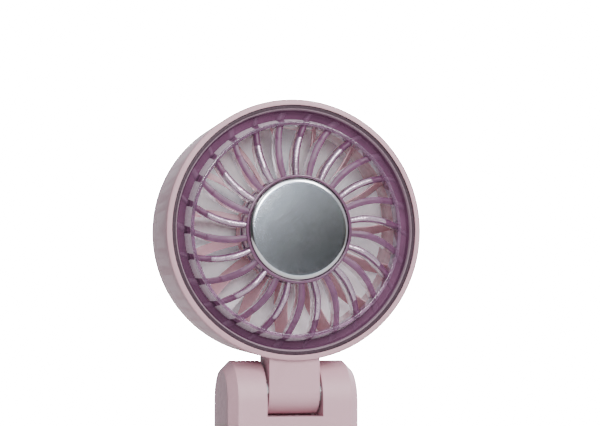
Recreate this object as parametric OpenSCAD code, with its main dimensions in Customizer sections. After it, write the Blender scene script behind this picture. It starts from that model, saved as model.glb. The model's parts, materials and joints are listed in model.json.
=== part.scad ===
// Folding handheld fan with a cooling plate. The air outlet faces -Y, +X is its right side seen from
// the front and +Z is up. The origin is the centre of the foot under the handle.

/* [Head] */
// Outer radius of the head at its front rim
rim_r = 44; // [43.5:0.1:45]
// Depth of the head housing, from the rim to its back edge
head_depth = 36.6; // [36.2:0.1:38]
// How much the housing's radius shrinks towards the back
head_taper = 1.5; // [0.8:0.1:1.8]
// Width of the plain rim round the grille
rim_w = 1.9; // [1.6:0.1:2]
// Height of the head's centre above the foot
head_z = 162.6; // [162:0.1:166]

/* [Front grille] */
// Number of spokes
spoke_count = 26; // [20:2:28]
// Width of a spoke
spoke_w = 2; // [1.6:0.1:2.2]
// Angle in degrees that a spoke sweeps clockwise on its way out
spoke_sweep = 11.5; // [8:0.5:14]
// Direction in degrees of the first spoke where it leaves the hub
spoke_start = 9.7; // [0:0.1:13]
// Radius of the hub ring
hub_r = 18.2; // [18:0.1:18.6]
// Radius of the inner edge of the raised lip
lip_r = 35; // [34.8:0.1:35.4]

/* [Cooling plate] */
// Radius of the metal cooling plate
plate_r = 17.05; // [16.8:0.05:17.1]
// Width of the plate's rolled edge
plate_edge = 1.25; // [1:0.05:1.6]
// Side of the square cooling module
cooler_side = 15; // [12:0.5:18]

/* [Air duct] */
// Number of guide vanes in front of the impeller
vane_count = 15; // [11:1:17]
// Angle in degrees that a guide vane leans anticlockwise
vane_lean = 9; // [4:0.5:12]
// Inner radius of the duct
duct_r = 37.2; // [37:0.1:37.4]

/* [Impeller] */
// Number of impeller blades
blade_count = 7; // [5:1:9]
// Gap between the blade tips and the duct
tip_gap = 0.8; // [0.6:0.1:1.2]

/* [Handle] */
// Width of the handle
handle_w = 45; // [44:0.5:48]
// Thickness of the handle
handle_t = 28; // [28:0.5:29]
// Bevel along the handle's edges
handle_bevel = 3; // [2:0.1:3.4]
// Height of the slot's floor, where the neck turns
slot_z = 100; // [100:0.1:100.2]
// Width of the slot between the two ears
slot_w = 19.2; // [19:0.1:19.6]

/* [Hinge] */
// Radius of the knuckle on the neck
knuckle_r = 7; // [6.8:0.05:7.1]
// Width of the neck and its knuckle
neck_w = 17.4; // [17:0.1:17.4]
// Radius of the hinge pin
pin_r = 2; // [1.8:0.05:2.1]

/* [Controls] */
// Height of the power button
power_z = 52; // [48:1:56]
// Height of the cooling button
cool_z = 37; // [32:1:40]
// Height of the battery display
display_z = 71; // [70:1:78]
// How far a button can be pressed
button_travel = 0.5; // [0.3:0.05:0.5]

/* [Hidden] */
$fn = 96;
eps = 0.01;
fit = 0.02;
run = 0.05;

rim_y = -handle_t / 2;
back_r = rim_r - head_taper;
seat_r = rim_r - rim_w;
bore_r = back_r - 2.1;
back_edge = 2.4;
shell_colour = "#c9bbbf";
clear_colour = "#7a5272";
vane_colour = "#b79a9c";
steel_colour = "#b4b8ba";
board_colour = "#2f6b4a";

hinge_z = slot_z + 0.8 + knuckle_r;
hinge_y = rim_y + 1.2 + knuckle_r;
ear_z = slot_z + 18.6 - handle_t / 2;
foot_h = 0.4;
wall = 2;
board_front = rim_y + 5.6;
board_t = 1.2;
cell_r = 9.2;
cell_l = 65;
cell_y = 2.4;
cell_z = 20;
socket_z = 10.9;
bush_r = 3.4;
washer_r = 5.4;
plug_r = 3.46;
neck_screw_x = 5.6;
neck_screw_z = hinge_z + 6;
sill_t = 1.5;
sill_h = 1.6;
boss_x = 15.5;
boss_low = 9;
boss_r = 2.9;
boss_high = 89;
screw_r = 1;
small_screw_r = 0.8;
tiny_screw_r = 0.6;
tiny_head_r = 1.1;
button_w = 13;
button_h = 7;
button_corner = 3.4;
switch_side = 6;
window_w = 16;
window_h = 9;

hub_front = -5.4;
hub_back = 4.86;
plate_front = -6.1;
ring_back = 4.6;
tip_r = duct_r - tip_gap;
spoke_steps = 7;
duct_front = ring_back + 0.02;
duct_split = 15;
duct_back = 33.4;
spigot = 2;
mount_back = 8.4;
ledge_front = 6;
ledge_r = 39.4;
duct_screw_at = 40.8;
duct_screw_angles = [90, 210, 330];
guard_screw_at = 38.3;
guard_screw_angles = [52.5, 127.5, 232.5, 307.5];
sink_screw_at = 13.2;
sink_screw_angles = [45, 225];
sink_front = plate_front + 5 + eps;
sink_back = 4.3;
guard_front = duct_back + eps;
guard_back = head_depth - 0.1;
guard_ribs = 24;

// Direction of a spoke at radius r, turning clockwise more and more towards the ring
function spoke_angle(r) =
  let (t = max(0, (r - 21) / (39.8 - 21))) -spoke_sweep * pow(t, 1.5);

// Points along one side of a spoke, at a signed distance from its middle line
function spoke_side(side, r0, r1) = [
  for (i = [0:spoke_steps])
    let (
      r = r0 + (r1 - r0) * i / spoke_steps,
      a = spoke_angle(r) + asin(side / r)
    )
    [r * cos(a), r * sin(a)]
];

function reversed(list) = [for (i = [len(list) - 1:-1:0]) list[i]];

// A solid turned about the head's axis, from points of radius and depth behind the rim
module turned(points) {
  translate([0, rim_y, head_z])
    rotate([-90, 0, 0])
      rotate_extrude()
        polygon(points);
}

// Puts a flat drawing, seen from the front, at a depth behind the rim and thickens it forwards
module faced(depth, thick) {
  translate([0, rim_y + depth, head_z])
    rotate([90, 0, 0])
      linear_extrude(thick)
        children();
}

// A drawing on the handle's front, thickened forwards from y
module on_front(y, z, thick) {
  translate([0, y, z])
    rotate([90, 0, 0])
      linear_extrude(thick)
        children();
}

// A rectangle with round corners, centred
module rounded(w, h, r) {
  square([w, h - 2 * r], center = true);
  square([w - 2 * r, h], center = true);
  for (x = [-1, 1], y = [-1, 1])
    translate([x * (w / 2 - r), y * (h / 2 - r)])
      circle(r);
}

// A rod along X between two places
module rod_x(r, x0, x1) {
  translate([x0, hinge_y, hinge_z])
    rotate([0, 90, 0])
      cylinder(h = x1 - x0, r = r);
}

// A rod along Y at a place on the handle
module rod_y(r, x, z, y0, y1) {
  translate([x, y0, z])
    rotate([-90, 0, 0])
      cylinder(h = y1 - y0, r = r);
}

// A rod along the head's axis at a polar place, between two depths
module head_rod(r, at, angle, d0, d1) {
  translate([at * cos(angle), rim_y + d0, head_z + at * sin(angle)])
    rotate([-90, 0, 0])
      cylinder(h = d1 - d0, r = r);
}

// A blade along a radius: its section holds points of tangent and depth
module radial_blade(section, r0, r1, angle, lean) {
  translate([0, rim_y, head_z])
    rotate([90, 0, 0])
      rotate([0, 0, angle])
        translate([r0, 0, 0])
          rotate([0, 0, lean])
            rotate([90, 0, 90])
              linear_extrude(r1 - r0)
                polygon([for (p = section) [p[0], -p[1]]]);
}

// The neck with its knuckle, whole
module neck_solid() {
  x0 = -neck_w / 2;
  rod_x(knuckle_r, x0, -x0);
  translate([x0, hinge_y - knuckle_r, hinge_z])
    cube([neck_w, 2 * knuckle_r, head_z - rim_r + 2.4 - hinge_z]);
}

module neck_bores() {
  rod_x(bush_r + fit, -neck_w, neck_w);
}

// Outer form of the head housing
module head_form(grow) {
  turned([
    [0, 0], [rim_r - 0.6 + grow, 0], [rim_r - 0.15 + grow, 0.2], [rim_r + grow, 0.7],
    [back_r + 0.1 + grow, head_depth - back_edge], [back_r - 0.7 + grow, head_depth - 0.8],
    [back_r - 1.8 + grow, head_depth], [0, head_depth]
  ]);
}

// Front rim, side wall and the front half of the neck, in one moulding
module head_shell() {
  color(shell_colour)
    difference() {
      union() {
        head_form(0);
        intersection() {
          neck_solid();
          translate([-neck_w, rim_y, 0])
            cube([2 * neck_w, hinge_y - rim_y, head_z]);
        }
      }
      turned([
        [0, -1], [seat_r, -1], [seat_r, ledge_front], [ledge_r, ledge_front],
        [ledge_r, ledge_front + 2.6], [bore_r, ledge_front + 4], [bore_r, head_depth + 1],
        [0, head_depth + 1]
      ]);
      for (a = duct_screw_angles)
        head_rod(tiny_screw_r + fit, duct_screw_at, a, ledge_front - 1, ledge_front + 3);
      neck_bores();
      for (x = [-1, 1])
        rod_y(small_screw_r + fit, x * neck_screw_x, neck_screw_z, hinge_y - 4.5, hinge_y + 1);
    }
}

// Rear half of the neck, screwed to the front half round the bush
module neck_cover() {
  color(shell_colour)
    difference() {
      intersection() {
        neck_solid();
        translate([-neck_w, hinge_y + eps, 0])
          cube([2 * neck_w, 2 * knuckle_r, head_z]);
      }
      head_form(0.05);
      neck_bores();
      for (x = [-1, 1]) {
        rod_y(small_screw_r + 0.1, x * neck_screw_x, neck_screw_z, hinge_y - 1, hinge_y + 8);
        rod_y(1.55, x * neck_screw_x, neck_screw_z, hinge_y + 5, hinge_y + 8);
      }
    }
}

// All spokes as one flat drawing
module spoke_plan(r0, r1) {
  for (i = [0:spoke_count - 1])
    rotate([0, 0, spoke_start + i * 360 / spoke_count])
      polygon(concat(
        spoke_side(spoke_w / 2, r0, r1),
        reversed(spoke_side(-spoke_w / 2, r0, r1))
      ));
}

// Clear tinted grille: outer channel, raised lip, swept spokes and the windowed hub cup
module front_grille() {
  color(clear_colour, 0.7)
    union() {
      turned([
        [seat_r - 0.05, 0.4], [seat_r - 0.05, ring_back - 0.05], [lip_r + 0.9, ring_back - 0.05],
        [lip_r - 0.1, 2], [lip_r - 0.1, -2], [lip_r + 0.2, -2.3], [lip_r + 1.3, -2.3],
        [lip_r + 1.6, -2], [lip_r + 2.4, 3.2], [39.8, 3.2], [40.9, 0.4]
      ]);
      intersection() {
        faced(ring_back - 0.1, 12)
          spoke_plan(hub_r - 0.6, 39.6);
        turned([
          [hub_r - 0.8, hub_front + 0.7], [24, hub_front + 0.9], [31, -2.7], [lip_r + 0.5, -0.7],
          [40, 1.6], [40, ring_back - 0.1], [lip_r, ring_back - 0.4], [24, 2.4],
          [hub_r - 0.8, 1.8]
        ]);
      }
      hub_cup();
    }
}

// Hub of the grille: a bead at the front and a wall with a window between every two spokes
module hub_cup() {
  difference() {
    turned([
      [hub_r - 0.9, hub_front + 0.3], [hub_r - 0.6, hub_front], [hub_r - 0.2, hub_front],
      [hub_r, hub_front + 0.3], [hub_r, hub_back], [hub_r - 1.1, hub_back],
      [hub_r - 1.1, hub_front + 1.4],
      [hub_r - 0.9, hub_front + 1.4]
    ]);
    for (i = [0:spoke_count / 2 - 1])
      translate([0, rim_y + 0.6, head_z])
        rotate([0, 180 / spoke_count - spoke_start + i * 360 / spoke_count, 0])
          cube([4 * hub_r, 4.6, 1.9], center = true);
  }
}

// Round metal plate that gets cold, with a rolled edge
module cooling_plate() {
  color(steel_colour)
    turned([
      [0, plate_front + 0.15], [plate_r - plate_edge - 0.3, plate_front + 0.15],
      [plate_r - plate_edge, plate_front], [plate_r - 0.5, plate_front + 0.1],
      [plate_r - 0.1, plate_front + 0.4], [plate_r, plate_front + 0.9],
      [plate_r, plate_front + 1.5], [0, plate_front + 1.5]
    ]);
}

// Dark soft ring that seals the plate in the hub
module plate_gasket() {
  color("#2b2428")
    turned([
      [plate_r - 2.6, plate_front + 1.51], [plate_r, plate_front + 1.51],
      [plate_r, plate_front + 2.3], [plate_r - 2.6, plate_front + 2.3]
    ]);
}

// Square block centred on the head's axis between two depths
module square_block(side, d0, d1) {
  translate([-side / 2, rim_y + d0, head_z - side / 2])
    cube([side, d1 - d0, side]);
}

// Ceramic cooling module behind the plate
module peltier_module() {
  color("#e8e6e0")
    union() {
      square_block(cooler_side, plate_front + 1.5 + eps, plate_front + 2.2);
      square_block(cooler_side - 1.4, plate_front + 2.2, plate_front + 3.8);
      square_block(cooler_side, plate_front + 3.8, plate_front + 4.5);
    }
}

// Soft pad that carries the heat into the heat sink
module thermal_pad() {
  color("#8fa3b5")
    square_block(cooler_side + 1, plate_front + 4.5 + eps, plate_front + 5);
}

// Finned heat sink inside the hub, cooled by the air through the windows
module heat_sink() {
  sink_r = 16.4;
  fin_pitch = 2.25;
  color("#9fa3a6")
    difference() {
      turned([[0, sink_front], [sink_r, sink_front], [sink_r, sink_back], [0, sink_back]]);
      difference() {
        for (i = [-6:6])
          translate([i * fin_pitch - 0.7, rim_y + sink_front + 1.3, head_z - 20])
            cube([1.4, 10, 40]);
        for (a = sink_screw_angles)
          head_rod(2.4, sink_screw_at, a, sink_front, 10);
      }
      for (a = sink_screw_angles)
        head_rod(small_screw_r + 0.1, sink_screw_at, a, sink_front - 1, 8);
    }
}

// Screws that hold the heat sink on the motor mount
module heat_sink_screws() {
  color("silver")
    for (a = sink_screw_angles) {
      head_rod(small_screw_r, sink_screw_at, a, sink_front - 0.5, mount_back - 0.2);
      head_rod(1.5, sink_screw_at, a, sink_front - 1, sink_front - eps);
    }
}

// Front of the duct with its guide vanes and the motor mount in the middle, in one moulding
module vane_ring() {
  vane = [[1.5, 6.2], [2.9, 7], [0.9, 11], [-1.4, 14.2], [-2.4, 14.2], [-0.6, 10.4], [1.2, 6.6]];
  color(vane_colour)
    difference() {
      union() {
        turned([
          [duct_r, duct_front], [seat_r - 0.1, duct_front], [seat_r - 0.1, ledge_front - eps],
          [duct_r + 1.4, ledge_front - eps], [duct_r + 1.4, duct_split],
          [duct_r + 0.7, duct_split], [duct_r + 0.7, duct_split + spigot],
          [duct_r, duct_split + spigot]
        ]);
        turned([
          [2.2, 7], [16.4, 7], [16.4, hub_back + 0.02], [17.6, hub_back + 0.02], [17.6, 13.4],
          [16.2, 13.4], [16.2, mount_back], [3.7, mount_back], [3.7, 24], [2.2, 24]
        ]);
        for (a = sink_screw_angles)
          head_rod(2.2, sink_screw_at, a, sink_back + eps, 7.5);
        for (i = [0:vane_count - 1])
          radial_blade(vane, 16.9, duct_r + 0.7, 360 / vane_count * i - 1, vane_lean);
      }
      for (a = sink_screw_angles)
        head_rod(small_screw_r + fit, sink_screw_at, a, 3, 12);
      for (a = duct_screw_angles) {
        head_rod(tiny_screw_r + 0.1, duct_screw_at, a, 3, 8);
        head_rod(tiny_head_r + 0.05, duct_screw_at, a, 3, duct_front + 0.7);
      }
      turned([[0, 3], [3, 3], [3, 10.5], [0, 10.5]]);
      turned([[0, 20.5], [3, 20.5], [3, 25], [0, 25]]);
    }
}

// Rear of the duct, round the impeller, pushed over the spigot of the vane ring
module duct_sleeve() {
  collar_r = bore_r - run;
  color(vane_colour)
    difference() {
      turned([
        [duct_r + 0.72, duct_split + eps], [collar_r, duct_split + eps], [collar_r, duct_split + 1.4],
        [duct_r + 1.4, duct_split + 2.4], [duct_r + 1.4, duct_back - 6],
        [collar_r, duct_back - 4], [collar_r, duct_back], [duct_r, duct_back],
        [duct_r, duct_split + spigot + eps], [duct_r + 0.72, duct_split + spigot + eps]
      ]);
      for (a = guard_screw_angles)
        head_rod(tiny_screw_r + fit, guard_screw_at, a, duct_back - 3.5, duct_back + 1);
    }
}

// Screws that hold the vane ring's flange on the ledge in the housing
module vane_ring_screws() {
  color("silver")
    for (a = duct_screw_angles) {
      head_rod(tiny_screw_r, duct_screw_at, a, duct_front + 0.4, ledge_front + 2.9);
      head_rod(tiny_head_r, duct_screw_at, a, duct_front + 0.05, duct_front + 0.7 - eps);
    }
}

// Round driver board of the motor
module motor_board() {
  color(board_colour)
    union() {
      turned([[3.9, mount_back + 0.5], [15, mount_back + 0.5], [15, mount_back + 1.5],
        [3.9, mount_back + 1.5]]);
      for (a = [20:60:320])
        rotate_about_head(a)
          translate([8, rim_y + mount_back + 1.5, head_z - 1])
            cube([3, 0.7, 2]);
    }
}

// Turns something about the head's axis, anticlockwise from the front
module rotate_about_head(angle) {
  translate([0, 0, head_z])
    rotate([0, -angle, 0])
      translate([0, 0, -head_z])
        children();
}

// Iron core with nine poles
module motor_laminations() {
  color("#6a6d70")
    union() {
      turned([[3.72, 13.2], [6.2, 13.2], [6.2, 19.8], [3.72, 19.8]]);
      for (i = [0:8])
        rotate_about_head(40 * i)
          union() {
            translate([5.9, rim_y + 13.2, head_z - 0.8])
              cube([4.6, 6.6, 1.6]);
            translate([10.2, rim_y + 13.2, head_z - 2.6])
              cube([0.8, 6.6, 5.2]);
          }
    }
}

// Copper coils round the poles
module motor_windings() {
  color("#b8672f")
    for (i = [0:8])
      rotate_about_head(40 * i)
        difference() {
          translate([7.2, rim_y + 12.2, head_z - 1.75])
            cube([2.6, 8.6, 3.5]);
          translate([6, rim_y + 13.1, head_z - 0.85])
            cube([5, 6.8, 1.7]);
        }
}

// Two small ball bearings in the mount's tube, as plain rings
module motor_bearings() {
  color("silver")
    for (d = [7.8, 20.6])
      turned([[1 + fit, d], [2.98, d], [2.98, d + 2.4], [1 + fit, d + 2.4]]);
}

// Flat pattern of the rear guard: a middle disc, two rings and straight ribs
module guard_plan() {
  circle(9);
  for (r = [17.5, 26.5])
    difference() {
      circle(r + 0.6);
      circle(r - 0.6);
    }
  for (i = [0:guard_ribs - 1])
    rotate([0, 0, 360 / guard_ribs * i])
      translate([8.5, -0.6])
        square([30, 1.2]);
}

// Rear intake guard, screwed to the back of the duct
module rear_grille() {
  color(shell_colour)
    difference() {
      union() {
        turned([
          [duct_r - 0.6, guard_front], [bore_r - 0.1, guard_front], [bore_r - 0.1, guard_back - 0.4],
          [bore_r - 0.5, guard_back], [duct_r - 0.6, guard_back]
        ]);
        faced(guard_back, 2)
          guard_plan();
      }
      for (a = guard_screw_angles) {
        head_rod(tiny_screw_r + 0.1, guard_screw_at, a, guard_front - 1, guard_back + 1);
        head_rod(tiny_head_r + 0.1, guard_screw_at, a, guard_back - 0.8, guard_back + 1);
      }
    }
}

// Screws that hold the rear guard, at its rim
module rear_grille_screws() {
  color("silver")
    for (a = guard_screw_angles) {
      head_rod(tiny_screw_r, guard_screw_at, a, duct_back - 3, guard_back - 0.5);
      head_rod(tiny_head_r, guard_screw_at, a, guard_back - 0.8 + eps, guard_back - 0.1);
    }
}

// Sleeve clamped between the two neck halves
module knuckle_bush() {
  color("#c9a85c")
    difference() {
      rod_x(bush_r, -neck_w / 2, neck_w / 2);
      rod_x(pin_r + run, -neck_w, neck_w);
    }
}

module neck_screws() {
  color("silver")
    for (x = [-1, 1]) {
      rod_y(small_screw_r, x * neck_screw_x, neck_screw_z, hinge_y - 4.3, hinge_y + 5.5);
      rod_y(1.5, x * neck_screw_x, neck_screw_z, hinge_y + 5 + eps, hinge_y + 6.2);
    }
}

// White impeller: hub cup and broad swept blades
module impeller() {
  blade = [[11.5, 16.2], [12.2, 17], [4, 21.6], [-3, 24.4], [-10.5, 27], [-10.9, 26], [-3.6, 23.2],
    [3.2, 20.2]];
  color("#e4e4e2")
    union() {
      turned([
        [14.3, 14.6], [15.9, 14.6], [16, 27.4], [14.6, 28.6], [1.2, 28.6], [1.2, 27], [13.4, 27],
        [14.3, 25.8]
      ]);
      intersection() {
        for (i = [0:blade_count - 1])
          radial_blade(blade, 6, tip_r + 6, 360 / blade_count * i + 12, -14);
        turned([[15.1, 14], [tip_r, 14], [tip_r, 30], [15.1, 30]]);
      }
    }
}

// Steel cup of the motor, pressed into the impeller
module rotor_can() {
  color("#8c8f92")
    turned([
      [12.7, 12.3], [13.35, 12.3], [13.35, 26.9], [1.01, 26.9], [1.01, 25.4], [12.7, 25.4]
    ]);
}

module rotor_magnet() {
  color("#3b3b3f")
    turned([[11.4, 12.8], [12.69, 12.8], [12.69, 20.6], [11.4, 20.6]]);
}

module motor_shaft() {
  color("silver")
    turned([[0, 7.4], [1, 7.4], [1, 28], [0, 28]]);
}

// Clip that stops the shaft from sliding out of its bearings
module shaft_clip() {
  color("silver")
    turned([[1.01, 7.5], [1.7, 7.5], [1.7, 7.7], [1.01, 7.7]]);
}

// Handle section: a rectangle with bevelled corners
module bevelled(w, t, c) {
  polygon([
    [-w / 2 + c, -t / 2], [w / 2 - c, -t / 2], [w / 2, -t / 2 + c], [w / 2, t / 2 - c],
    [w / 2 - c, t / 2], [-w / 2 + c, t / 2], [-w / 2, t / 2 - c], [-w / 2, -t / 2 + c]
  ]);
}

// Outline with a bevelled foot, as wide as w
module foot_outline(w, top) {
  c = 2;
  polygon([
    [-w / 2 + c, foot_h], [w / 2 - c, foot_h], [w / 2, foot_h + c], [w / 2, top],
    [-w / 2, top], [-w / 2, foot_h + c]
  ]);
}

// The whole handle from outside: bevelled bar with a fully rounded, bevelled top
module handle_form() {
  intersection() {
    linear_extrude(ear_z + eps)
      bevelled(handle_w, handle_t, handle_bevel);
    translate([0, handle_t, 0])
      rotate([90, 0, 0])
        linear_extrude(2 * handle_t)
          foot_outline(handle_w, ear_z + 1);
    translate([-handle_w, 0, 0])
      rotate([90, 0, 90])
        linear_extrude(2 * handle_w)
          foot_outline(handle_t, ear_z + 1);
  }
  translate([0, 0, ear_z])
    rotate([0, 90, 0])
      rotate_extrude()
        polygon([
          [0, -handle_w / 2], [handle_t / 2 - handle_bevel, -handle_w / 2],
          [handle_t / 2, -handle_w / 2 + handle_bevel], [handle_t / 2, handle_w / 2 - handle_bevel],
          [handle_t / 2 - handle_bevel, handle_w / 2], [0, handle_w / 2]
        ]);
}

// Everything that is cut out of both handle halves
module handle_cuts() {
  translate([0, 0, foot_h + 2.4])
    linear_extrude(slot_z - 3.2 - foot_h - 2.4)
      bevelled(handle_w - 2 * wall, handle_t - 2 * wall, handle_bevel - 0.8);
  translate([-slot_w / 2, -handle_t, slot_z])
    cube([slot_w, 2 * handle_t, 40]);
  translate([0, 0, -1])
    linear_extrude(foot_h + 2.2)
      rounded(34.1, 18.1, 4);
}

module handle_front() {
  color(shell_colour)
    difference() {
      union() {
        difference() {
          handle_form();
          handle_cuts();
        }
        for (x = [-boss_x, boss_x], z = [boss_low, boss_high])
          rod_y(boss_r, x, z, rim_y + wall - 0.2, -eps);
        translate([-slot_w / 2 - eps, -sill_t, slot_z - 1])
          cube([slot_w + 2 * eps, sill_t, sill_h + 1]);
      }
      translate([-handle_w, -eps, -1])
        cube([2 * handle_w, handle_t, 200]);
      for (x = [-boss_x, boss_x], z = [boss_low, boss_high])
        rod_y(screw_r + fit, x, z, rim_y + wall + 2, 1);
      rod_x(pin_r + fit, -19, handle_w);
      rod_x(plug_r + 0.04, 20.2, handle_w);
      for (z = [power_z, cool_z])
        on_front(rim_y + wall + 1, z, 4)
          rounded(button_w + 0.5, button_h + 0.5, button_corner + 0.25);
      on_front(rim_y + wall + 1, display_z, 4)
        rounded(window_w + 0.1, window_h + 0.1, 1.5);
    }
}

module handle_rear() {
  color(shell_colour)
    difference() {
      union() {
        difference() {
          handle_form();
          handle_cuts();
        }
        for (x = [-boss_x, boss_x], z = [boss_low, boss_high])
          rod_y(boss_r, x, z, eps, handle_t / 2 - wall + 0.2);
        for (z = [30, 75])
          translate([-handle_w / 2 + wall, 4, z - 0.8])
            cube([handle_w - 2 * wall, handle_t / 2 - wall - 3.9, 1.6]);
      }
      translate([-handle_w, -handle_t + eps, -1])
        cube([2 * handle_w, handle_t, 200]);
      translate([0, cell_y, cell_z - 1])
        cylinder(h = cell_l + 2, r = cell_r + 0.15);
      for (x = [-boss_x, boss_x], z = [boss_low, boss_high]) {
        rod_y(screw_r + 0.15, x, z, -1, handle_t);
        rod_y(2.1, x, z, handle_t / 2 - 2.2, handle_t);
      }
      on_front(handle_t / 2 + 1, socket_z, 5)
        rounded(9.5, 3.8, 1.85);
    }
}

module handle_screws() {
  color("silver")
    for (x = [-boss_x, boss_x], z = [boss_low, boss_high]) {
      rod_y(screw_r, x, z, rim_y + wall + 3, handle_t / 2 - 2);
      rod_y(2, x, z, handle_t / 2 - 2.2 + eps, handle_t / 2 - 0.8);
    }
}

module hinge_pin() {
  color(steel_colour)
    rod_x(pin_r, -18.9, 20.1);
}

// Two washers that press on the knuckle's sides and hold the head where it is put
module friction_washers() {
  gap = (slot_w - neck_w) / 2;
  color(steel_colour)
    for (s = [-1, 1]) {
      x = s * (neck_w / 2 + gap / 2);
      difference() {
        rod_x(washer_r, x - gap / 2 + run, x + gap / 2 - fit);
        rod_x(pin_r + fit, x - 2, x + 2);
      }
    }
}

// Plug over the end of the pin, flush with the right ear
module hinge_plug() {
  color(shell_colour)
    rod_x(plug_r, 20.25, handle_w / 2 - 0.05);
}

module battery_cell() {
  color("#3f6fa8")
    translate([0, cell_y, cell_z])
      cylinder(h = cell_l, r = cell_r);
}

// Nickel tabs welded to the two ends of the cell
module battery_tabs() {
  color("#c8c4b8")
    for (z = [cell_z - 0.3 - eps, cell_z + cell_l + eps])
      translate([-3, board_front + board_t + 0.4, z])
        cube([6, 12, 0.3]);
}

module main_board() {
  color(board_colour)
    union() {
      translate([-11.5, board_front, 13.5])
        cube([23, board_t, 80]);
      for (z = [60, 86])
        translate([-8, board_front - 0.9, z])
          cube([5, 0.9 + eps, 4]);
      translate([2, board_front - 1.4, 84])
        cube([6, 1.4 + eps, 6]);
    }
}

// Small board for the charging socket, above the foot
module charge_board() {
  color(board_colour)
    translate([-8, -4, socket_z - 1.64 - board_t])
      cube([16, 15.5, board_t]);
}

module usb_socket() {
  color(steel_colour)
    translate([0, handle_t / 2 - 0.3, socket_z])
      rotate([90, 0, 0]) {
        difference() {
          linear_extrude(7.3)
            rounded(8.94, 3.26, 1.6);
          translate([0, 0, -1])
            linear_extrude(7)
              rounded(8.34, 2.6, 1.29);
        }
        translate([-3.3, -0.35, 0.8])
          cube([6.6, 0.7, 6]);
      }
}

// Tactile switch with a hole for its plunger
module tact_switch(z) {
  difference() {
    translate([-switch_side / 2, board_front - 1.9, z - switch_side / 2])
      cube([switch_side, 1.9 - eps, switch_side]);
    rod_y(1.8, 0, z, board_front - 3, board_front - 0.5);
  }
}

module power_switch() {
  color("#2c2c30")
    tact_switch(power_z);
}

module cool_switch() {
  color("#2c2c30")
    tact_switch(cool_z);
}

module display_module() {
  color("#1d1d22")
    translate([-window_w / 2 + 1, board_front - 1.8, display_z - window_h / 2 + 0.7])
      cube([window_w - 2, 1.8 - eps, window_h - 1.4]);
}

// Dark glossy window over the display, flush with the handle
module display_window() {
  color("#18161c")
    union() {
      on_front(rim_y + wall + eps, display_z, wall - 0.04)
        rounded(window_w, window_h, 1.5);
      on_front(rim_y + wall + 0.7, display_z, 0.7 - eps)
        rounded(window_w + 2, window_h + 2, 2);
    }
}

// Rubber foot that the fan stands on
module foot_pad() {
  color("#8d8084")
    linear_extrude(foot_h + 1.2 - eps)
      rounded(34, 18, 4);
}

// Button with a flange that keeps it behind the wall
module press_button(z) {
  union() {
    on_front(rim_y + wall + 0.5, z, wall + 0.8)
      rounded(button_w, button_h, button_corner);
    on_front(rim_y + wall + 0.8, z, 0.7)
      rounded(button_w + 1.6, button_h + 1.6, button_corner + 0.8);
  }
}

// Plunger of the switch, under its button
module plunger(z) {
  rod_y(1.7, 0, z, rim_y + wall + 0.8 + eps, board_front - 0.5 - button_travel - 0.1);
}

module power_button() {
  color("#d8cdd0")
    press_button(power_z);
}

module power_plunger() {
  color("#1f1f22")
    plunger(power_z);
}

module cool_button() {
  color("#d8cdd0")
    press_button(cool_z);
}

module cool_plunger() {
  color("#1f1f22")
    plunger(cool_z);
}

head_shell();
neck_cover();
front_grille();
cooling_plate();
plate_gasket();
peltier_module();
thermal_pad();
heat_sink();
heat_sink_screws();
vane_ring();
vane_ring_screws();
duct_sleeve();
motor_board();
motor_laminations();
motor_windings();
motor_bearings();
rear_grille();
rear_grille_screws();
knuckle_bush();
neck_screws();
impeller();
rotor_can();
rotor_magnet();
motor_shaft();
shaft_clip();
handle_front();
handle_rear();
handle_screws();
hinge_pin();
friction_washers();
hinge_plug();
battery_cell();
battery_tabs();
main_board();
charge_board();
usb_socket();
power_switch();
cool_switch();
display_module();
display_window();
foot_pad();
power_button();
power_plunger();
cool_button();
cool_plunger();
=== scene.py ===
"""Folding handheld fan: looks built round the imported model, laid out as an add-on and run as a script."""

import json
import math

import bmesh
import bpy
import numpy as np
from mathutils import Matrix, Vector


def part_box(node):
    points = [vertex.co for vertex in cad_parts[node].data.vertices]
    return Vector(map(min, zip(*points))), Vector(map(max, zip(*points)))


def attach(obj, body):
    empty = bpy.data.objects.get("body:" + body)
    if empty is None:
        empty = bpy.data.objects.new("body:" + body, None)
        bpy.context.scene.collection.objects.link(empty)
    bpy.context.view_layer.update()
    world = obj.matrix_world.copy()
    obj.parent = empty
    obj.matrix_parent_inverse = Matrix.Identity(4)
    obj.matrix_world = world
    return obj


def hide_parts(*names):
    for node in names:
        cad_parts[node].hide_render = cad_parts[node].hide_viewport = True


bl_info = {
    "name": "Handheld Fan",
    "version": (1, 0, 0),
    "blender": (4, 5, 0),
    "location": "View3D > Sidebar > Fan",
    "description": "Builds the visible pieces and finishes of a folding handheld fan",
    "category": "Add Mesh",
}

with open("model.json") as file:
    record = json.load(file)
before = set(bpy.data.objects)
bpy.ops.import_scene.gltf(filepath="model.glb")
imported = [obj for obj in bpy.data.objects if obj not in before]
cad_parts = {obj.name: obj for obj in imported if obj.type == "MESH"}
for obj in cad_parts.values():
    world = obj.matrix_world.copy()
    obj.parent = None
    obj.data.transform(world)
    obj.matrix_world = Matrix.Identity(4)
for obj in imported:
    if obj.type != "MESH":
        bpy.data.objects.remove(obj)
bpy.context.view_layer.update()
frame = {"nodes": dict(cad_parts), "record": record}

MM = 0.001
TURN = 2 * math.pi
SHELL_LOW, SHELL_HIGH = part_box("head_shell")
PLATE_LOW, PLATE_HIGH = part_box("cooling_plate")
HEAD_X = (PLATE_LOW.x + PLATE_HIGH.x) / 2
HEAD_Z = (PLATE_LOW.z + PLATE_HIGH.z) / 2
RIM_Y = SHELL_LOW.y
RIM_R = (SHELL_HIGH.x - SHELL_LOW.x) / 2 / MM
PLATE_R = (PLATE_HIGH.x - PLATE_LOW.x) / 2 / MM
PLATE_FRONT = (PLATE_LOW.y - RIM_Y) / MM
GRILLE_LOW, GRILLE_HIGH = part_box("front_grille")
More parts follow.
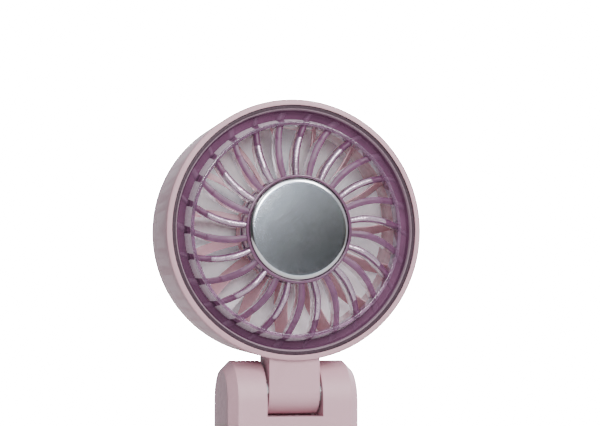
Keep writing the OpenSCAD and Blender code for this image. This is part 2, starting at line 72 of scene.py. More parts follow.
SEAT_R = (GRILLE_HIGH.x - GRILLE_LOW.x) / 2 / MM
CHANNEL_BACK = (GRILLE_HIGH.y - RIM_Y) / MM
HUB_FRONT = (GRILLE_LOW.y - RIM_Y) / MM
HUB_R = PLATE_R + 1.15
PLATE_ROLL = 1.6  # width of the plate's rolled edge
PLATE_CROWN = 0.5  # how far the plate's face falls away at its edge
DEEP_R = 31  # where the spokes step down and turn a deeper purple
LIP_R = 37.4  # outer foot of the lip, where the channel begins
# radii of a spoke's sections past its step
SPOKE_END = [31.1, 32.5, 34, 34.7, 35.3, 36, 36.4, 37, 37.45, 38, 38.7, 39.3, 39.8]
CAP_POINTS = 9
SECTION_POINTS = CAP_POINTS + 4


# ---------------------------------------------------------------- colours and nodes


def linear(code):
    """An sRGB hex colour as linear red, green and blue."""
    srgb = [int(code[i : i + 2], 16) / 255 for i in (1, 3, 5)]
    return tuple(c / 12.92 if c <= 0.04045 else ((c + 0.055) / 1.055) ** 2.4 for c in srgb)


def rgba(code):
    """The same colour with full alpha, as a shader socket takes it."""
    return (*linear(code), 1.0)


def add(tree, kind, inputs=None, to=None, **settings):
    """Adds a node. inputs holds values or sockets by name or number, settings its properties.

    to is a socket that the node's first output is linked to.
    """
    made = tree.nodes.new("ShaderNode" + kind)
    for key, value in settings.items():
        setattr(made, key, value)
    for key, value in (inputs or {}).items():
        if isinstance(value, bpy.types.NodeSocket):
            tree.links.new(value, made.inputs[key])
        else:
            made.inputs[key].default_value = value
    if to is not None:
        tree.links.new(made.outputs[0], to)
    return made


def start(name, **principled):
    """A material with one Principled shader, and the socket of the piece's own coordinates."""
    mat = bpy.data.materials.new(name)
    mat.use_nodes = True
    tree = mat.node_tree
    tree.nodes.clear()
    shader = add(tree, "BsdfPrincipled", {k.replace("_", " "): v for k, v in principled.items()})
    add(tree, "OutputMaterial", {"Surface": shader.outputs[0]})
    place = add(tree, "TexCoord").outputs["Object"]
    return mat, tree, shader, place


def mottle(tree, pattern, first, second, start_at=0.3, end_at=0.7):
    """Two sRGB colours that run into each other over the middle of a pattern."""
    share = add(tree, "MapRange", {0: pattern, 1: start_at, 2: end_at}).outputs[0]
    return add(tree, "Mix", {0: share, 6: rgba(first), 7: rgba(second)}, data_type="RGBA").outputs[2]


def mix_shader(mat, share, other):
    """Puts a second shader over the material's own, by a share that is a number or a socket."""
    tree = mat.node_tree
    own = next(n for n in tree.nodes if n.type == "BSDF_PRINCIPLED").outputs[0]
    out = next(n for n in tree.nodes if n.type == "OUTPUT_MATERIAL").inputs["Surface"]
    add(tree, "MixShader", {0: share, 1: own, 2: other.outputs[0]}, to=out)


def per_mm(size):
    """Pattern scale that gives features of a size in millimetres, on coordinates in metres."""
    return 1 / (size * MM)


def moulded(name, light, dark, roughness, grain_mm, depth_mm, **principled):
    """Injection-moulded plastic or rubber: colour drifts slowly from the melt, with an eroded mould's grain."""
    mat, tree, shader, place = start(name, **principled)
    drift = add(tree, "TexNoise", {"Vector": place, "Scale": per_mm(28), "Detail": 3.0}).outputs[0]
    grain = add(tree, "TexNoise", {"Vector": place, "Scale": per_mm(grain_mm), "Detail": 2.0}).outputs[0]
    colour = mottle(tree, drift, light, dark)
    tree.links.new(colour, shader.inputs["Base Color"])
    ends = {0: grain, 1: 0.3, 2: 0.7, 3: roughness - 0.04, 4: roughness + 0.04}
    add(tree, "MapRange", ends, to=shader.inputs["Roughness"])
    relief = {"Height": grain, "Strength": 0.25, "Distance": depth_mm * MM}
    add(tree, "Bump", relief, to=shader.inputs["Normal"])
    return mat


# ---------------------------------------------------------------- finishes


def housing_abs():
    """ABS moulded in a finely spark-eroded tool: even satin, no sharp reflections."""
    c = bpy.context.scene.fan_colours
    return moulded("ABS satin moulding", c.housing, c.housing_shade, 0.46, 0.35, 0.010)


def vane_abs():
    """ABS in a dustier pink, as moulded."""
    c = bpy.context.scene.fan_colours
    return moulded("ABS dusty pink moulding", c.vane, c.vane_shade, 0.42, 0.4, 0.010)


def impeller_pp():
    """White polypropylene from a polished tool: soft gloss, and thin enough to let some light through."""
    mat = moulded("Polypropylene white gloss", "#FAFDFF", "#F4F8FA", 0.24, 0.6, 0.004)
    mix_shader(mat, 0.12, add(mat.node_tree, "BsdfTranslucent", {"Color": rgba("#FFFFFF")}))
    return mat


def button_abs():
    """ABS a shade lighter than the housing."""
    return moulded("ABS button moulding", "#E3D8DA", "#DACED1", 0.4, 0.35, 0.008)


def black_nylon():
    """Glass-filled nylon: dull black with a grain."""
    return moulded("Nylon black moulding", "#1C1C1F", "#26262A", 0.55, 0.5, 0.015)


def seal_rubber():
    """Nitrile rubber, matt."""
    return moulded("Nitrile rubber", "#161215", "#221C20", 0.7, 0.4, 0.02)


def foot_rubber():
    """Thermoplastic rubber in a greyed pink, matt."""
    return moulded("Thermoplastic rubber", "#8F8286", "#85787C", 0.75, 0.6, 0.03)


def pad_silicone():
    """Soft thermal silicone, matt grey-blue."""
    return moulded("Thermal silicone", "#8499AD", "#7C90A3", 0.6, 0.5, 0.02)


def ceramic_alumina():
    """Sintered alumina: chalky white with faint grains."""
    return moulded("Alumina ceramic", "#E6E3DB", "#DAD6CC", 0.5, 0.3, 0.01)


def cell_wrap():
    """PVC shrink sleeve: glossy with a fine orange peel."""
    return moulded("PVC shrink sleeve", "#3A6CA8", "#345F96", 0.25, 1.2, 0.02)


def metal(name, light, dark, roughness, scale_mm, stretch):
    """Worked metal: fine scratches that run along one axis, from the pattern's stretch, and a slow tarnish."""
    mat, tree, shader, place = start(name, Metallic=1.0)
    lie = add(tree, "Mapping", {"Vector": place, "Scale": stretch}).outputs[0]
    lines = add(tree, "TexNoise", {"Vector": lie, "Scale": per_mm(scale_mm), "Detail": 3.0}).outputs[0]
    drift = add(tree, "TexNoise", {"Vector": place, "Scale": per_mm(9), "Detail": 2.0}).outputs[0]
    colour = mottle(tree, drift, light, dark)
    tree.links.new(colour, shader.inputs["Base Color"])
    ends = {0: lines, 1: 0.3, 2: 0.7, 3: roughness - 0.08, 4: roughness + 0.08}
    add(tree, "MapRange", ends, to=shader.inputs["Roughness"])
    add(tree, "Bump", {"Height": lines, "Strength": 0.2, "Distance": 0.004 * MM}, to=shader.inputs["Normal"])
    return mat


def zinc_steel():
    """Zinc-plated steel: bright and a little cloudy."""
    return metal("Zinc plated steel", "#C4C6C8", "#ABAEB0", 0.28, 0.6, (1, 1, 1))


def motor_steel():
    """Stamped silicon steel: dull, with rolling lines."""
    return metal("Silicon steel stamping", "#8D9092", "#74777A", 0.42, 0.5, (1, 6, 1))


def sink_aluminium():
    """Extruded aluminium: lines along the fins."""
    return metal("Extruded aluminium", "#C9CBCC", "#B2B5B7", 0.34, 0.5, (1, 1, 0.08))


def bush_brass():
    """Turned brass: fine rings from the tool."""
    return metal("Turned brass", "#CDAE63", "#B6954F", 0.3, 0.3, (8, 1, 1))


def ferrite():
    """Bonded ferrite: near black and dull."""
    return moulded("Bonded ferrite", "#343438", "#2A2A2E", 0.6, 0.25, 0.01)


def copper_coils():
    """Enamelled copper wire wound in rows 0.4 mm apart; each row runs from dark to light, painted shade in the
    grooves between turns.
    """
    mat, tree, shader, place = start("Enamelled copper wire", Metallic=1.0, Roughness=0.3)
    rows = add(
        tree, "TexWave", {"Vector": place, "Scale": per_mm(0.4) / TURN}, bands_direction="DIAGONAL"
    ).outputs["Fac"]
    # Dark brown in the grooves and copper on the turns: painted shade across each row.
    tree.links.new(mottle(tree, rows, "#7E3F1C", "#C8763A", 0, 1), shader.inputs["Base Color"])
    add(tree, "Bump", {"Height": rows, "Strength": 0.8, "Distance": 0.1 * MM}, to=shader.inputs["Normal"])
    return mat


def circuit_board():
    """Glass-epoxy board under green solder mask, with paler tracks 2 mm apart."""
    mat, tree, shader, place = start("Glass epoxy board", Roughness=0.32)
    cells = add(
        tree, "TexVoronoi", {"Vector": place, "Scale": per_mm(2.6)}, distance="MANHATTAN"
    ).outputs["Distance"]
    tracks = add(tree, "MapRange", {0: cells, 1: 0.42, 2: 0.46}).outputs[0]
    tree.links.new(mottle(tree, tracks, "#1E5A3A", "#3C8059", 0, 1), shader.inputs["Base Color"])
    add(tree, "Bump", {"Height": tracks, "Strength": 0.4, "Distance": 0.03 * MM}, to=shader.inputs["Normal"])
    return mat


def smoked_acrylic():
    """Acrylic window, smoked nearly black and polished, with a trace of handling."""
    mat, tree, shader, place = start("Smoked acrylic", Base_Color=rgba("#141217"), IOR=1.49)
    smears = add(tree, "TexNoise", {"Vector": place, "Scale": per_mm(5), "Detail": 4.0}).outputs[0]
    add(tree, "MapRange", {0: smears, 1: 0.3, 2: 0.7, 3: 0.05, 4: 0.12}, to=shader.inputs["Roughness"])
    return mat


def radius_from_axis(tree, place):
    """Distance from the head's axis, in metres."""
    centred = add(tree, "VectorMath", {0: place, 1: (-HEAD_X, 0, -HEAD_Z)}, operation="ADD").outputs[0]
    flat = add(tree, "VectorMath", {0: centred, 1: (1, 0, 1)}, operation="MULTIPLY").outputs[0]
    return add(tree, "VectorMath", {0: flat}, operation="LENGTH").outputs["Value"]


def plate_steel():
    """Stainless steel: face finely blasted to satin, with a blue cast that paints the blue-grey of the room it
    reflects, rolled edge polished, with a few marks of use.
    """
    mat, tree, shader, place = start("Stainless steel blasted face", Metallic=1.0)
    radius = radius_from_axis(tree, place)
    edge = (PLATE_R - PLATE_ROLL) * MM
    polish = add(tree, "MapRange", {0: radius, 1: edge, 2: edge + 0.8 * MM}).outputs[0]
    grain = add(tree, "TexNoise", {"Vector": place, "Scale": per_mm(0.35), "Detail": 2.0}).outputs[0]
    smears = add(tree, "TexNoise", {"Vector": place, "Scale": per_mm(7), "Detail": 4.0}).outputs[0]
    # The face's blue cast is a painted reflection tint; its two colours drift with smears from use.
    face = mottle(tree, smears, "#CBD6E4", "#C4CFDD")
    colour = add(tree, "Mix", {0: polish, 6: face, 7: rgba("#DADBDB")}, data_type="RGBA").outputs[2]
    tree.links.new(colour, shader.inputs["Base Color"])
    satin = add(tree, "MapRange", {0: grain, 1: 0.3, 2: 0.7, 3: 0.14, 4: 0.2}).outputs[0]
    rough = add(tree, "Mix", {0: polish, 2: satin, 3: 0.12}).outputs[0]
    tree.links.new(rough, shader.inputs["Roughness"])
    height = add(tree, "Mix", {0: polish, 2: grain, 3: 0.5}).outputs[0]
    add(tree, "Bump", {"Height": height, "Strength": 0.3, "Distance": 0.004 * MM}, to=shader.inputs["Normal"])
    return mat


def clear_plastic(name, tint, other, haze, roughness=0.06, coat=0.6):
    """Polycarbonate, polished and dyed through: light takes its tint on the way, and a share, haze, scatters.

    Shadow and diffuse rays go straight through, so that light reaches what is behind it.
    """
    mat, tree, shader, place = start(
        name, IOR=1.5, Transmission_Weight=1 - haze, Roughness=roughness,
        Coat_Weight=coat, Coat_Roughness=0.03,
    )
    flow = add(tree, "TexNoise", {"Vector": place, "Scale": per_mm(6), "Detail": 2.0}).outputs[0]
    colour = mottle(tree, flow, tint, other)
    tree.links.new(colour, shader.inputs["Base Color"])
    add(tree, "Bump", {"Height": flow, "Strength": 0.15, "Distance": 0.05 * MM}, to=shader.inputs["Normal"])
    rays = add(tree, "LightPath").outputs
    passing = {0: rays["Is Shadow Ray"], 1: rays["Is Diffuse Ray"]}
    lets_light_in = add(tree, "Math", passing, operation="MAXIMUM").outputs[0]
    mix_shader(mat, lets_light_in, add(tree, "BsdfTransparent", {"Color": rgba("#FDF8FC")}))
    return mat


def body_plastic():
    """The spokes' sides and back: thin enough to look nearly clear, with a grey cast."""
    return clear_plastic("Polycarbonate clear body", "#EFE9EE", "#E6DFE5", 0.07)


def spoke_plastic():
    """The spokes' caps, which gather the dye: a translucent mauve."""
    return clear_plastic("Polycarbonate mauve cap", "#6E4466", "#643D5C", 0.65, 0.4, 0.0)


def spoke_deep_plastic():
    """The spokes' outer ends, where the plastic is deeper and so a darker purple."""
    return clear_plastic("Polycarbonate deep cap", "#683C5E", "#5E3554", 0.65, 0.35, 0.0)


def lip_plastic():
    """The grille's thin lip: the same plastic, pale because it is thin."""
    return clear_plastic("Polycarbonate lip", "#8F6D8B", "#83627F", 0.35, 0.08)


def flare_plastic():
    """The spokes' flared feet in the channel: the same purple plastic, dull where the tool was left rough."""
    return moulded("Polycarbonate purple foot", "#6A4A62", "#5F4158", 0.45, 0.6, 0.004, IOR=1.2)


def band_plastic():
    """The lip's outer wall: frosted by the mould, a pale grey-lilac."""
    return moulded("Polycarbonate frosted band", "#D4C6CF", "#C9BAC4", 0.25, 0.8, 0.006, Coat_Weight=0.4)


def channel_plastic():
    """The grille's outer channel: the same plastic seen through its whole depth, so dark.

    Its bezel is grained and greyed, and a thin lighter ring at its inner edge is a painted highlight.
    """
    mat, tree, shader, place = start("Polycarbonate purple channel", IOR=1.2)
    radius = radius_from_axis(tree, place)
    bezel = add(tree, "MapRange", {0: radius, 1: 40.2 * MM, 2: 40.4 * MM}).outputs[0]
    # A thin lighter ring just inside the bezel's rounded inner edge: painted highlight.
    edge = add(tree, "MapRange", {0: radius, 1: 40.72 * MM, 2: 40.9 * MM, 3: 1, 4: 0}).outputs[0]
    grain = add(tree, "TexNoise", {"Vector": place, "Scale": per_mm(0.35), "Detail": 1.0}).outputs[0]
    flow = add(tree, "TexNoise", {"Vector": place, "Scale": per_mm(14), "Detail": 2.0}).outputs[0]
    trough = mottle(tree, flow, "#68455E", "#56384E")
    speckle = mottle(tree, grain, "#4E3F48", "#3A2D35")
    # The bezel's grained colour, with the painted highlight ring mixed in at its inner edge.
    face = add(tree, "Mix", {0: edge, 6: speckle, 7: rgba("#8F7C86")}, data_type="RGBA").outputs[2]
    colour = add(tree, "Mix", {0: bezel, 6: trough, 7: face}, data_type="RGBA").outputs[2]
    tree.links.new(colour, shader.inputs["Base Color"])
    rough = add(tree, "Mix", {0: bezel, 2: 0.25, 3: 0.3}).outputs[0]
    tree.links.new(rough, shader.inputs["Roughness"])
    height = add(tree, "Mix", {0: bezel, 2: 0.5, 3: grain}).outputs[0]
    add(tree, "Bump", {"Height": height, "Strength": 0.4, "Distance": 0.015 * MM}, to=shader.inputs["Normal"])
    return mat


def hub_plastic():
    """The hub's bead and posts: the same purple plastic over a dark inside."""
    mat, tree, shader, place = start(
        "Polycarbonate purple hub", IOR=1.58, Coat_Weight=0.5, Coat_Roughness=0.04
    )
    flow = add(tree, "TexNoise", {"Vector": place, "Scale": per_mm(9), "Detail": 2.0}).outputs[0]
    colour = mottle(tree, flow, "#6B4962", "#5B3D54")
    tree.links.new(colour, shader.inputs["Base Color"])
    add(tree, "MapRange", {0: flow, 1: 0.3, 2: 0.7, 3: 0.12, 4: 0.2}, to=shader.inputs["Roughness"])
    return mat


def spoke_highlight_finish():
    """Top of every second spoke: a painted highlight, a bright silvery strip along the crown where the highlight
    falls, finely beaded so that it sparkles.
    """
    mat, tree, shader, place = start(
        "Painted highlight bead strip", Metallic=0.75, Coat_Weight=0.5, Coat_Roughness=0.06
    )
    beads = add(tree, "TexVoronoi", {"Vector": place, "Scale": per_mm(0.3)}).outputs["Distance"]
    colour = mottle(tree, beads, "#EBDCE5", "#A98FA6", 0.15, 0.6)
    tree.links.new(colour, shader.inputs["Base Color"])
    add(tree, "MapRange", {0: beads, 1: 0.2, 2: 0.6, 3: 0.14, 4: 0.3}, to=shader.inputs["Roughness"])
    add(tree, "Bump", {"Height": beads, "Strength": 0.5, "Distance": 0.04 * MM}, to=shader.inputs["Normal"])
    return mat


def floor_paint():
    """Matt white studio floor, with a trace of unevenness."""
    mat, tree, shader, place = start("Matt white floor", Roughness=0.8)
    drift = add(tree, "TexNoise", {"Vector": place, "Scale": 3.0, "Detail": 2.0}).outputs[0]
    colour = mottle(tree, drift, "#BDBBBA", "#B8B6B5")
    tree.links.new(colour, shader.inputs["Base Color"])
    return mat


# ---------------------------------------------------------------- surfaces


def polar(radius, angle, depth):
    """Points round the head's axis, from lengths in mm.

    x is radius times the cosine of the angle, z is radius times its sine, and y is the rim plus the depth.
    """
    radius, angle, depth = np.broadcast_arrays(radius, angle, depth)
    x = HEAD_X + radius * np.cos(angle) * MM
    z = HEAD_Z + radius * np.sin(angle) * MM
    return np.stack([x, RIM_Y + depth * MM, z], -1)


def closed_grid(points, round_u=True):
    """A shell from a grid of points that wraps along its second side, and its first too or gets a cap at each end.

    It comes as three arrays: points, corners of all faces in a row, and the number of corners of each face.
    """
    n, m = points.shape[:2]
    index = np.arange(n * m).reshape(n, m)
    rows = np.arange(n if round_u else n - 1)
    here, there = index[rows], index[(rows + 1) % n]
    quads = np.stack([here, np.roll(here, -1, 1), np.roll(there, -1, 1), there], -1)
    caps = [] if round_u else [index[0, ::-1], index[-1]]
    sizes = np.repeat([4, m], [quads.size // 4, len(caps)])
    return points.reshape(-1, 3), np.concatenate([quads.ravel(), *caps]), sizes


def lathe(profile, steps=192):
    """Turns a closed profile of radius and depth about the head's axis."""
    profile = np.array(profile, float)
    angle = np.arange(steps) * TURN / steps
    return closed_grid(polar(profile[None, :, 0], angle[:, None], profile[None, :, 1]))


def filleted(corners, steps=5):
    """A closed outline whose corners (x, y, radius) are replaced by arcs tangent to both sides.

    Each arc is a rational quadratic curve, circular because the corner's weight is the sine of half its angle.
    """
    out = []
    count = len(corners)
    for i, (x, y, r) in enumerate(corners):
        here = np.array([x, y], float)
        if r == 0:
            out.append(here)
            continue
        before = np.array(corners[i - 1][:2], float) - here
        after = np.array(corners[(i + 1) % count][:2], float) - here
        reach = min(np.linalg.norm(before), np.linalg.norm(after))
        before, after = before / np.linalg.norm(before), after / np.linalg.norm(after)
        half = math.acos(float(np.clip(before @ after, -1, 1))) / 2
        cut = min(r / math.tan(half), reach * 0.49)
        first, last = here + before * cut, here + after * cut
        t = np.linspace(0, 1, steps)[:, None]
        weight = 2 * t * (1 - t) * math.sin(half)
        arc = ((1 - t) ** 2 * first + weight * here + t**2 * last) / ((1 - t) ** 2 + weight + t**2)
        out.extend(arc)
    return np.array(out)


def outward(points, corners, sizes):
    """The corners of a closed shell's faces, turned if the faces point inwards.

    The sign is that of the shell's volume, the sum of the triple products of the triangles that fan out from
    each face's first corner.
    """
    start_at = np.repeat(np.cumsum(sizes) - sizes, sizes)
    place = np.arange(len(corners)) - start_at
    count = np.repeat(sizes, sizes)
    at = (start_at, start_at + place, start_at + (place + 1) % count)
    first, here, after = (points[corners[k]] for k in at)
    volume = np.einsum("ij,ij->i", first, np.cross(here, after)).sum()
    return corners if volume > 0 else corners[start_at + count - 1 - place]


def face_radius(points, corners, sizes):
    """Distance in mm of each face's middle, the mean of its corners, from the head's axis."""
    middle = np.add.reduceat(points[corners], np.cumsum(sizes) - sizes) / sizes[:, None]
    return np.hypot(middle[:, 0] - HEAD_X, middle[:, 2] - HEAD_Z) / MM


def piece(name, shells, finishes, body, slot, *nodes, sharp=35, finish_of=None):
    """One object from closed shells, riding on a body and standing for CAD nodes.

    finish_of gives the number of each face's finish from the shell's number and its three arrays.
    """
    points, corners, sizes, marks, base = [], [], [], [], 0
    for k, (p, c, s) in enumerate(shells):
        c = outward(p, c, s)
        marks.append(np.zeros(len(s)) if finish_of is None else finish_of(k, p, c, s))
        points.append(p)
        corners.append(c + base)
        sizes.append(s)
        base += len(p)
    faces = np.split(np.concatenate(corners), np.cumsum(np.concatenate(sizes))[:-1])
    mesh = bpy.data.meshes.new(name)
    mesh.from_pydata(np.concatenate(points), [], faces)
    for finish in finishes:
        mesh.materials.append(finish)
    mesh.polygons.foreach_set("material_index", np.concatenate(marks).astype(np.int32))
    return settle(mesh, name, body, nodes, sharp)


def settle(mesh, name, body, nodes, sharp):
    """Closes poles, shades smoothly up to an angle and hands the mesh to its body."""
    shape = bmesh.new()
    shape.from_mesh(mesh)
    bmesh.ops.remove_doubles(shape, verts=shape.verts, dist=1e-7)
    shape.to_mesh(mesh)
    shape.free()
    mesh.polygons.foreach_set("use_smooth", np.ones(len(mesh.polygons), bool))
    mesh.set_sharp_from_angle(angle=math.radians(sharp))
    made = bpy.data.objects.new(name, mesh)
    bpy.context.scene.collection.objects.link(made)
    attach(made, body)
    if nodes:
        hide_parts(*nodes)
    return made


def softened(node, name, finish, body, width_mm):
    """A copy of a CAD node, merged, its flat faces rejoined and its edges rounded as a mould leaves them."""
    mesh = frame["nodes"][node].data.copy()
    mesh.materials.clear()
    mesh.materials.append(finish)
    shape = bmesh.new()
    shape.from_mesh(mesh)
    bmesh.ops.remove_doubles(shape, verts=shape.verts, dist=2e-6)
    bmesh.ops.dissolve_limit(shape, angle_limit=math.radians(0.6), verts=shape.verts, edges=shape.edges)
    shape.to_mesh(mesh)
    shape.free()
    made = settle(mesh, name, body, (node,), 30)
    edge = made.modifiers.new("Edge", "BEVEL")
    edge.width = width_mm * MM
    edge.segments = 3
    edge.limit_method = "ANGLE"
    edge.angle_limit = math.radians(28)
    edge.harden_normals = True
    edge.use_clamp_overlap = True
    return made


# ---------------------------------------------------------------- grille


def spoke_turn(radius, sweep):
    """Angle by which a spoke has turned clockwise at a radius: it grows as the 1.5th power of the way out."""
    share = np.clip((radius - 21) / (39.8 - 21), 0, None)
    return -np.radians(sweep) * share**1.5


def spoke_shell(angle, sweep, width, raised):
    """One spoke: a section carried along its swept line.

    Top, back and half width are read from tables of radius, and the top is raised by a crown of one minus the
    square of the way across. The spoke steps down outside DEEP_R, crosses the lip and falls to its foot.
    """
    radius = np.concatenate([np.linspace(HUB_R - 0.5, DEEP_R - 0.1, 20), SPOKE_END])
    line = [17, 24, DEEP_R, DEEP_R + 0.05, 34.7, 35.3, 36.4, LIP_R, 39.4]
    tops = [HUB_FRONT + 0.5, HUB_FRONT + 0.6, -2.9, -2.45, -1.4, -2.0, -2.0, 2.75, 2.95]
    top = np.interp(radius, line, tops)
    back = np.interp(radius, [17, 24, 35, 39.4], [1.8, 2.4, 4.1, CHANNEL_BACK - 0.15])
    half = np.interp(radius, [17, 22, DEEP_R, 36, 39.4], [0.8, 1, 1, 0.95, 1.25]) * width / 2
    across = np.linspace(-1, 1, CAP_POINTS)
    crown = raised * (1 - across**2)
    side = np.concatenate([across, [1, 0.8, -0.8, -1]])
    rise = np.concatenate([crown, [0] * 4])
    level = np.concatenate([np.zeros(CAP_POINTS), [0.5, 1, 1, 0.5]])
    offset = half[:, None] * side[None, :]
    depth = top[:, None] + (back - top)[:, None] * level[None, :] + (raised - rise)[None, :] * (level == 0)
    turned = angle + spoke_turn(radius, sweep)[:, None] + np.arcsin(offset / radius[:, None])
    return closed_grid(polar(radius[:, None], turned, depth), round_u=False)


def spoke_finish(k, points, corners, sizes):
    """Sides clear, cap mauve or, on every second spoke, a painted highlight strip down the cap's middle, deep
    purple past DEEP_R, foot past the lip.
    """
    lip_from, foot_from = 34.6, 37
    radius = face_radius(points, corners, sizes)
    column = np.arange(len(sizes)) % SECTION_POINTS
    cap = column < CAP_POINTS - 1
    # The middle of every second spoke's cap: a bright strip there paints the highlight on its rounded top.
    painted_highlight_cap = (column > 1) & (column < CAP_POINTS - 2) & (k % 2 == 0)
    near = np.select([~cap, painted_highlight_cap], [0, 1], 2)
    deep = (cap & (radius > DEEP_R)) | (radius > lip_from)
    return np.select([radius > foot_from, deep, radius > DEEP_R], [4, 3, 0], near)


def grille_spokes(sizes):
    """All spokes in one mesh."""
    step = TURN / sizes.spoke_count
    angles = np.radians(sizes.spoke_start) + np.arange(sizes.spoke_count) * step
    shells = [
        spoke_shell(a, sizes.spoke_sweep, sizes.spoke_width / MM, 0.75 if k % 2 == 0 else 0.35)
        for k, a in enumerate(angles)
    ]
    # The second finish paints the highlight along every second spoke's crown.
    finishes = [body_plastic(), spoke_highlight_finish(), spoke_plastic(), spoke_deep_plastic(), flare_plastic()]
    return piece(
        "grille_spokes", shells, finishes, "head", "tinted_clear", "front_grille",
        finish_of=spoke_finish, sharp=50,
    )


def lip_finish(k, points, corners, sizes):
    """Marks the lip's sloping outer wall, which shows as a pale band."""
    return face_radius(points, corners, sizes) > 36.3


def grille_lip():
    """The thin raised lip that the spokes pass through, turned from a filleted outline."""
    outline = filleted(
        [
            (34.9, 2, 0.3), (35.1, -2.3, 0.3), (36.2, -2.3, 0.35), (LIP_R, 3.25, 0.2),
            (LIP_R, CHANNEL_BACK - 0.1, 0), (35.9, CHANNEL_BACK - 0.1, 0.3),
        ]
    )
    return piece(
        "grille_lip", [lathe(outline)], [lip_plastic(), band_plastic()], "head", "tinted_clear", "front_grille",
        finish_of=lip_finish,
    )


def grille_channel():
    """The outer channel with its bezel, turned from a filleted outline."""
    outline = filleted(
        [
            (LIP_R + 0.01, CHANNEL_BACK, 0), (LIP_R + 0.01, 3.2, 0.15), (39.8, 3.2, 0.5), (40.6, 0.4, 0.2),
            (SEAT_R, 0.4, 0.3), (SEAT_R, CHANNEL_BACK, 0),
        ]
    )
    shells = [lathe(outline)]
    return piece("grille_channel", shells, [channel_plastic()], "head", "tinted_clear", "front_grille")


def grille_hub(sizes):
    """The bead round the plate, and behind it a cage: a ring, a post under each spoke and a thin pale web, which
    fills the cage's open windows to paint the light seen through them.
    """
    front = HUB_FRONT
    bead = filleted(
        [
            (HUB_R - 0.95, front + 1.5, 0), (HUB_R - 0.95, front + 0.1, 0.25), (HUB_R, front + 0.1, 0.35),
            (HUB_R, front + 2.3, 0.1), (HUB_R - 1, front + 2.3, 0.1),
        ]
    )
    foot = filleted(
        [(HUB_R - 1, 2.9, 0.1), (HUB_R, 2.9, 0.1), (HUB_R, 4.8, 0.1), (HUB_R - 1, 4.8, 0.1)]
    )
    step = TURN / sizes.spoke_count
    angles = np.radians(sizes.spoke_start) + np.arange(sizes.spoke_count) * step
    depth = np.array([front + 2, 3.1])
    half = np.radians(3.0)
    inside, outside = HUB_R - 0.95, HUB_R - 0.05
    turn, radius = np.array([(-half, inside), (-half, outside), (half, outside), (half, inside)]).T
    posts = [closed_grid(polar(radius, a + turn, depth[:, None]), round_u=False) for a in angles]
    # The pale web is painted light: an opaque sheet across the open windows between the posts, standing for the
    # brightness seen through them.
    inner, outer = HUB_R - 0.7, HUB_R - 0.4
    web = [(inner, front + 2.2), (outer, front + 2.2), (outer, 3), (inner, 3)]
    shells = [lathe(bead), lathe(foot), *posts, lathe(web)]
    finishes = [hub_plastic(), band_plastic()]
    return piece(
        "grille_hub", shells, finishes, "head", "tinted_clear", "front_grille",
        finish_of=lambda k, points, corners, sizes: np.full(len(sizes), k == len(shells) - 1),
    )


# ---------------------------------------------------------------- plate, vanes, impeller


def cooling_plate():
    """Plate with a slightly crowned face that rolls over at its edge.

    Depth grows by the crown times the square of the share of the radius, plus an elliptical fillet.
    """
    flat_r = PLATE_R - PLATE_ROLL
    rolled = flat_r + PLATE_ROLL * np.sin(np.linspace(0.08, math.pi / 2, 16))
    radius = np.concatenate([np.linspace(0, flat_r, 24), rolled])
    past = np.clip(radius - flat_r, 0, None) / PLATE_ROLL
    fillet = 1 - np.sqrt(np.clip(1 - past**2, 0, 1))
    face = np.stack([radius, PLATE_FRONT + PLATE_CROWN * (radius / PLATE_R) ** 2 + 0.95 * fillet], -1)
    rest = np.array([[PLATE_R, PLATE_FRONT + 1.5], [0, PLATE_FRONT + 1.5]])
    profile = np.concatenate([face, rest])
    shells = [lathe(profile, 160)]
    return piece("plate", shells, [plate_steel()], "head", "cooling_steel", "cooling_plate", sharp=60)


def pairs(x, y):
    """Points of two coordinates, from numbers or columns."""
    return np.stack(np.broadcast_arrays(x, y), -1)


def blade_sections(first, middle, last, thickness, count=12):
    """Closed aerofoil-like sections, one for each row of points, round quadratic curves.

    With t from 0 to 1 the centre line is first, middle and last weighted by (1 - t) squared, 2 t (1 - t) and
    t squared. Half the thickness rises from a third with the 0.6th power of sin(pi t), and closes at both ends.
    """
    t = ((1 - np.cos(np.linspace(0, math.pi, count))) / 2)[:, None]
    line = (1 - t) ** 2 * first + 2 * t * (1 - t) * middle + t**2 * last
    along = 2 * (1 - t) * (middle - first) + 2 * t * (last - middle)
    normal = np.stack([-along[..., 1], along[..., 0]], -1) / np.linalg.norm(along, axis=-1)[..., None]
    swell = 0.35 + 0.65 * np.sin(math.pi * t) ** 0.6
    half = thickness[..., None] / 2 * swell * np.sin(math.pi * np.clip(t, 0.02, 0.98)) ** 0.2
    return np.concatenate([line + normal * half, (line - normal * half)[:, ::-1]], 1)


def vane_shell(angle, lean, inner, outer):
    """One guide vane: sections that lean and turn with the radius, and widen where they meet hub and duct.

    The widening is the 4th power of the way from mid-span; the vane bows by a sine of the share of its span.
    """
    radius = np.linspace(inner, outer, 14)[:, None]
    s = (radius - inner) / (outer - inner)
    thickness = 1.2 + 0.35 * (2 * s - 1) ** 4
    front, back = pairs(1.4 + 0 * s, 6.4), pairs(-1.2 - 0.4 * s, 14)
    section = blade_sections(front, pairs(1.0 - 0.8 * s, 10.6), back, thickness)
    tangent = section[..., 0] + math.sin(math.radians(lean)) * (radius - inner) - 0.9 * np.sin(math.pi * s)
    around = angle + np.arcsin(np.clip(tangent / radius, -1, 1))
    return closed_grid(polar(radius, around, section[..., 1]), round_u=False)


